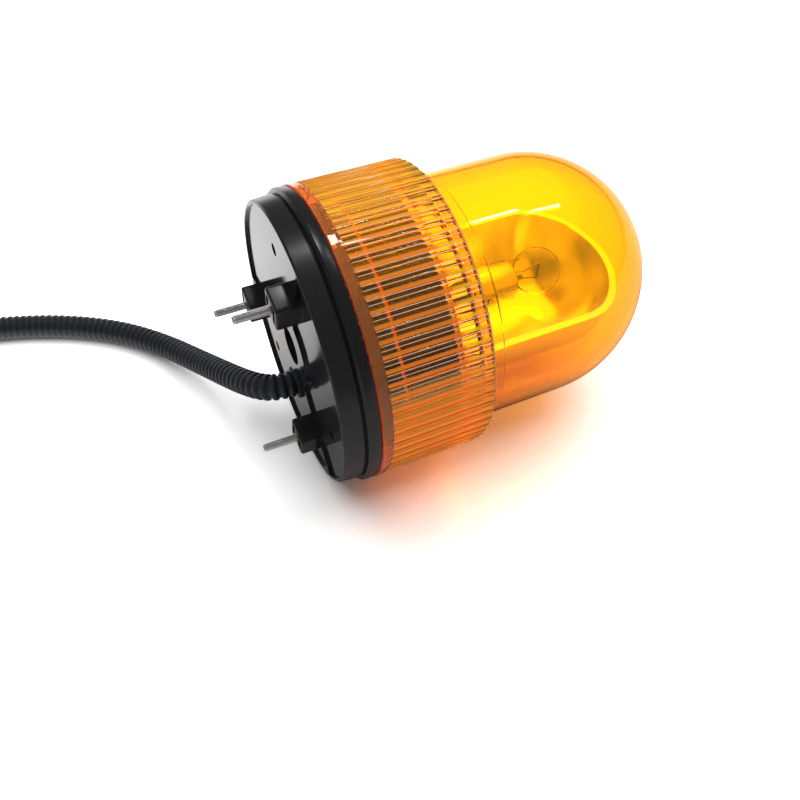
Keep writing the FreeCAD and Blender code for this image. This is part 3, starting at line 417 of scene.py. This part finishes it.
# ---- conduit, boot and leads ----
# Points that the middle of the conduit is drawn towards, in the lamp's millimetres.
ROUTE = [(-0.3, 2.2, -20.9), (-5.4, 2.2, -20.9), (-11, 5, -21.7), (-16.4, 13.6, -24.8),
         (-21.8, 28, -31), (-28.8, 47, -39), (-39, 69, -45.6), (-54, 86.8, -47.25),
         (-75, 100.8, -47.25), (-100, 111.2, -47.25), (-128, 118, -47.25),
         (-156, 112, -47.25), (-176, 92, -47.25), (-183, 65, -47.25), (-178, 40, -47.25)]
CONDUIT_R, CONDUIT_LENGTH = 5.0, 297.4
RING_PITCH, BORE_OF_CONDUIT, GROOVE_R = 2.8, 3.6, 4.2
# One ring: place as a share of the pitch, and radius.
RING = ((0.0, 4.15), (0.18, GROOVE_R), (0.3, 4.72), (0.4, 4.95), (0.55, CONDUIT_R),
        (0.7, 4.95), (0.8, 4.72), (0.92, GROOVE_R))


def centreline():
    """Points along the middle of the conduit, in the row frame."""
    line = bpy.data.curves.new("conduit_route", "CURVE")
    line.dimensions = "3D"
    line.resolution_u = 24
    spline = line.splines.new("NURBS")
    spline.points.add(len(ROUTE) - 1)
    for point, place in zip(spline.points, ROUTE):
        point.co = (*at(*place), 1)
    spline.order_u = 3
    spline.use_endpoint_u = True
    holder = bpy.data.objects.new("conduit_route", line)
    bpy.context.scene.collection.objects.link(holder)
    mesh = bpy.data.meshes.new_from_object(holder)
    points = [v.co.copy() for v in mesh.vertices]
    bpy.data.objects.remove(holder)
    bpy.data.meshes.remove(mesh)
    return points


def bent(bm, points):
    """Bends a tube that stands along x onto the route, without twist."""
    lengths = [0.0]
    for a, b in zip(points, points[1:]):
        lengths.append(lengths[-1] + (b - a).length)
    tangents = [(points[min(i + 1, len(points) - 1)] - points[max(i - 1, 0)]).normalized()
                for i in range(len(points))]
    side = Vector((0, 0, 1)).cross(tangents[0]).normalized()
    frames = []
    for tangent in tangents:
        side = (side - tangent * side.dot(tangent)).normalized()
        frames.append((side, tangent.cross(side)))
    full = lengths[-1]
    reach = max(v.co.x for v in bm.verts)
    k = 0
    for vert in sorted(bm.verts, key=lambda v: v.co.x):
        s = min(full, max(0.0, vert.co.x / reach * full))
        while k < len(lengths) - 2 and lengths[k + 1] < s:
            k += 1
        t = (s - lengths[k]) / (lengths[k + 1] - lengths[k])
        middle = points[k].lerp(points[k + 1], t)
        across = frames[k][0].lerp(frames[k + 1][0], t).normalized()
        up = frames[k][1].lerp(frames[k + 1][1], t).normalized()
        vert.co = TO_ROW.inverted() @ (middle + (across * vert.co.y + up * vert.co.z) * MM)


def conduit():
    """The conduit with its rings, and the boot and leads at its end."""
    points = centreline()
    rings = round(CONDUIT_LENGTH / RING_PITCH)
    end = rings * RING_PITCH
    outline = [(0, BORE_OF_CONDUIT), (0, GROOVE_R)]
    outline += [((k + share) * RING_PITCH, r) for k in range(rings) for share, r in RING]
    outline += [(end, GROOVE_R), (end, BORE_OF_CONDUIT)]
    bm = spun(outline, 36, closed=False)
    bent(bm, points)
    made = piece("conduit_made", bm, "base", "black_conduit", FINISH["black_conduit"], "cord_tube",
                 smooth=50)
    ends = [dressed(node, 0) for node in ("cord_boot", "lead_wires", "lead_ferrules")]
    return made


# ---- studs ----
STUD_CIRCLE_R, STUD_ANGLES = 31.5, (112.6, -127.4, -7.4)
STUD_END, THREAD_LOW, CORE_TOP = -19.4, -18.9, 8
CORE_R, POINT_R, THREAD_TURNS, THREAD_PITCH = 1.3, 1.1, 24, 0.5
# One turn of the thread: place along the stud, and radius.
THREAD = [(0.0, 1.24), (0.12, 1.46), (0.2, 1.5), (0.3, 1.46), (0.42, 1.24), (0.5, 1.24)]


def thread(y, z, steps=20):
    """A thread wound about an axis parallel to the lamp's, as an open ribbon."""
    bm = bmesh.new()
    verts = [bm.verts.new((THREAD_LOW + x, y, z + r)) for x, r in THREAD]
    edges = [bm.edges.new(pair) for pair in zip(verts, verts[1:])]
    bmesh.ops.spin(bm, geom=verts + edges, cent=(0, y, z), axis=(1, 0, 0),
                   angle=2 * math.pi * THREAD_TURNS, steps=steps * THREAD_TURNS,
                   dvec=(THREAD_PITCH / steps, 0, 0))
    bmesh.ops.remove_doubles(bm, verts=bm.verts, dist=0.004)
    return bm


def studs():
    """Three threaded studs in one piece, each a thread round a core."""
    bm = bmesh.new()
    for angle in STUD_ANGLES:
        y = STUD_CIRCLE_R * math.cos(math.radians(angle))
        z = STUD_CIRCLE_R * math.sin(math.radians(angle))
        core = spun(rounded([(STUD_END, 0), (STUD_END, POINT_R, 0.12), (-18.7, 1.36),
                             (-18.6, CORE_R), (CORE_TOP, CORE_R), (CORE_TOP, 0)], 3),
                    24, centre=(y, z))
        for part in (thread(y, z), core):
            mesh = bpy.data.meshes.new("stud")
            part.to_mesh(mesh)
            part.free()
            bm.from_mesh(mesh)
            bpy.data.meshes.remove(mesh)
    return piece("studs_made", bm, "base", "zinc_steel", FINISH["zinc_steel"], "mount_studs")


# ---- stage: table, light and camera ----
# How white the table and how bright the room is for each kind of ray, "" being any other. Above 1 the
# table gives back more light than falls on it: seen directly and through the lens this keeps the
# backdrop white, for other rays it is a painted glow that lights the lamp from below, and in glossy
# pieces the table shows darker.
TABLE_WHITE = {"": 1.7, "Is Camera Ray": 1.7, "Is Transmission Ray": 2.55,
               "Is Glossy Ray": 0.42}
ROOM = {"": 0.14, "Is Camera Ray": 1.6, "Is Transmission Ray": 1.6}

# Where along the table a glow begins and ends, in metres, and its strength at both places. The glows
# behind and beside the lamp are a painted reflection that only glossy pieces see; the far one keeps
# the backdrop white.
GLOW_BEHIND = (0.0, 0.12, 0.0, 1.0)
GLOW_BESIDE = (0.12, 0.32, 1.0, 0.1)
GLOW_FAR = (0.6, 1.4, 0.0, ROOM["Is Camera Ray"])
TABLE_SIDE = 12

# Name, directions of the two ends of a strip, its width and distance in metres, and radiance.
STRIPS = (("low_strip", (0.1, 0.37, 0.93), (0.24, 0.3, 0.93), 0.17, 1.3, 17.0),
          ("strip", (0.41, 0.19, 0.89), (0.49, 0.19, 0.855), 0.05, 1.3, 18.0),
          ("short_strip", (0.505, 0.115, 0.855), (0.56, 0.08, 0.825), 0.05, 1.3, 14.0))
PANEL = ((0.1, 0.3, 0.95), 1.4, 2.6, 1.85)   # direction, distance, side and radiance

CAMERA_AT = (-0.10014, -0.18418, 0.23428)
CAMERA_TILT, CAMERA_HEADING = 41.34, -24.42
CAMERA_LENS, CAMERA_SENSOR = 33.75, 36


def by_ray(nodes, links, levels):
    """A value that depends on the kind of ray that asks for it.

    A ray of two kinds, such as one refracted by a clear piece, takes both kinds' steps."""
    path = nodes.new("ShaderNodeLightPath")
    total = None
    for kind, level in levels.items():
        if kind:
            step = nodes.new("ShaderNodeMath")
            step.operation = "MULTIPLY_ADD"
            step.inputs[1].default_value = level - levels[""]
            links.new(path.outputs[kind], step.inputs[0])
            if total is None:
                step.inputs[2].default_value = levels[""]
            else:
                links.new(total, step.inputs[2])
            total = step.outputs["Value"]
    return total


def ramped(nodes, links, value, ramp):
    """A value turned into a strength by (from, to, strength at from, strength at to)."""
    ranged = nodes.new("ShaderNodeMapRange")
    for socket, level in zip(("From Min", "From Max", "To Min", "To Max"), ramp):
        ranged.inputs[socket].default_value = level
    links.new(value, ranged.inputs["Value"])
    return ranged.outputs["Result"]


def combined(nodes, links, operation, *values):
    """A Math node's result for two or three values."""
    node = nodes.new("ShaderNodeMath")
    node.operation = operation
    for socket, value in zip(node.inputs, values):
        links.new(value, socket)
    return node.outputs["Value"]


def table_white():
    """The table's finish, with a painted reflection, a glow behind the lamp that only glossy pieces
    see, and a glow far off in the view.
    """
    white = bpy.data.materials.new("white_table")
    white.use_nodes = True
    nodes, links = white.node_tree.nodes, white.node_tree.links
    shader = nodes["Principled BSDF"]
    shader.inputs["Roughness"].default_value = 0.9
    shader.inputs["Specular IOR Level"].default_value = 0.0
    shader.inputs["Emission Color"].default_value = (1, 1, 1, 1)
    links.new(by_ray(nodes, links, TABLE_WHITE), shader.inputs["Base Color"])
    path = nodes["Light Path"]
    place = nodes.new("ShaderNodeTexCoord").outputs["Object"]
    split = nodes.new("ShaderNodeSeparateXYZ")
    links.new(place, split.inputs["Vector"])
    reach = nodes.new("ShaderNodeVectorMath")
    reach.operation = "LENGTH"
    links.new(place, reach.inputs[0])
    near = combined(nodes, links, "MULTIPLY",
                    ramped(nodes, links, split.outputs["Y"], GLOW_BEHIND),
                    ramped(nodes, links, split.outputs["X"], GLOW_BESIDE))
    # painted reflection: the table glows here for glossy rays alone
    glossy = combined(nodes, links, "MULTIPLY", near, path.outputs["Is Glossy Ray"])
    glow = combined(nodes, links, "MULTIPLY_ADD",
                    ramped(nodes, links, reach.outputs["Value"], GLOW_FAR),
                    path.outputs["Is Camera Ray"], glossy)
    links.new(glow, shader.inputs["Emission Strength"])
    return white


def lit(name, place, target, along, size, radiance):
    """An area lamp at a place, aimed at the target, with its length along a direction."""
    lamp = bpy.data.lights.new(name, "AREA")
    lamp.shape = "RECTANGLE"
    lamp.size, lamp.size_y = size
    lamp.energy = radiance * math.pi * size[0] * size[1]
    holder = bpy.data.objects.new(name, lamp)
    bpy.context.scene.collection.objects.link(holder)
    back = (place - target).normalized()
    length = (along - back * along.dot(back)).normalized()
    holder.matrix_world = Matrix.Translation(place) @ Matrix(
        (length, back.cross(length), back)).transposed().to_4x4()
    return holder


def room():
    """The world, a strip of light for each glint, and one soft panel that makes no glint."""
    world = bpy.data.worlds.new("room")
    bpy.context.scene.world = world
    world.use_nodes = True
    nodes, links = world.node_tree.nodes, world.node_tree.links
    back = nodes["Background"]
    back.inputs["Color"].default_value = (1, 1, 1, 1)
    links.new(by_ray(nodes, links, ROOM), back.inputs["Strength"])

    target = Vector((0, 0, AXIS_Z))
    for name, first, last, width, reach, radiance in STRIPS:
        first, last = Vector(first).normalized(), Vector(last).normalized()
        lit(name, target + (first + last).normalized() * reach, target, last - first,
            ((last - first).length * reach, width), radiance)
    toward, reach, side, radiance = PANEL
    panel = lit("panel", target + Vector(toward).normalized() * reach, target, Vector((1, 0, 0)),
                (side, side), radiance)
    panel.visible_glossy = False


def camera():
    seen = bpy.data.cameras.new("camera")
    seen.lens, seen.sensor_width = CAMERA_LENS, CAMERA_SENSOR
    seen.clip_start, seen.clip_end = 0.01, 50
    holder = bpy.data.objects.new("camera", seen)
    bpy.context.scene.collection.objects.link(holder)
    holder.location = CAMERA_AT
    holder.rotation_euler = (math.radians(CAMERA_TILT), 0, math.radians(CAMERA_HEADING))
    bpy.context.scene.camera = holder
    bpy.context.scene.view_settings.view_transform = "Standard"


def stage():
    bpy.ops.mesh.primitive_plane_add(size=TABLE_SIDE)
    table = bpy.context.object
    table.name = "table"
    table.data.materials.append(table_white())
    room()
    camera()


stage()
lens()
conduit()
studs()
REMADE = {"lens", "cord_tube", "cord_boot", "lead_wires", "lead_ferrules", "mount_studs"}
for node in sorted(set(SLOT) - REMADE):
    dressed(node)
